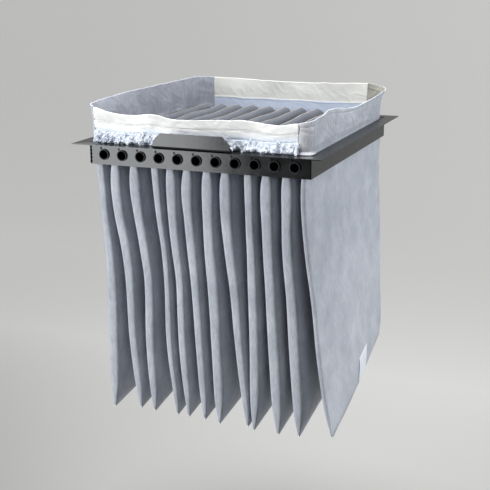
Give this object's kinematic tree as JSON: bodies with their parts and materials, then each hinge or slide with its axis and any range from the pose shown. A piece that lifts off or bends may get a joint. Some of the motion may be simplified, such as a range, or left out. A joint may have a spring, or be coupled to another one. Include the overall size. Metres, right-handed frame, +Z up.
{
  "type": "pocket bag air filter",
  "caption": "Deep pocket bag air filter: felt pockets hang over cross tubes in a welded steel seal frame, with a cloth collar above a wide flange.",
  "frame": {"origin": "centre of the frame opening in the plane of the flange's upper face, which is where the filter hangs in its housing", "axes": "+X to the right along the row of pockets, -Y towards the front with the lug, +Z up against the air flow"},
  "size_m": [0.6761, 0.737, 0.8119],
  "materials": {
    "black_paint": "semi-gloss black enamel on folded sheet steel",
    "grey_felt": "needle-punched light blue-grey felt",
    "white_canvas": "plain white woven canvas",
    "tag_coat": "smooth coated white label cloth"
  },
  "bodies": {
    "root": {"front_rail": "black_paint", "right_rail": "black_paint", "rear_rail": "black_paint", "left_rail": "black_paint", "tube_01": "black_paint", "tube_02": "black_paint", "tube_03": "black_paint", "tube_04": "black_paint", "tube_05": "black_paint", "tube_06": "black_paint", "tube_07": "black_paint", "tube_08": "black_paint", "tube_09": "black_paint", "tube_10": "black_paint", "tube_11": "black_paint", "front_lug": "black_paint", "pocket_01": "grey_felt", "pocket_02": "grey_felt", "pocket_03": "grey_felt", "pocket_04": "grey_felt", "pocket_05": "grey_felt", "pocket_06": "grey_felt", "pocket_07": "grey_felt", "pocket_08": "grey_felt", "pocket_09": "grey_felt", "pocket_10": "grey_felt", "pocket_11": "grey_felt", "pocket_12": "grey_felt", "collar_left": "grey_felt", "collar_right": "grey_felt", "collar_front": "white_canvas", "collar_rear": "white_canvas", "front_frill": "white_canvas", "care_tag": "tag_coat"}
  },
  "joints": []
}
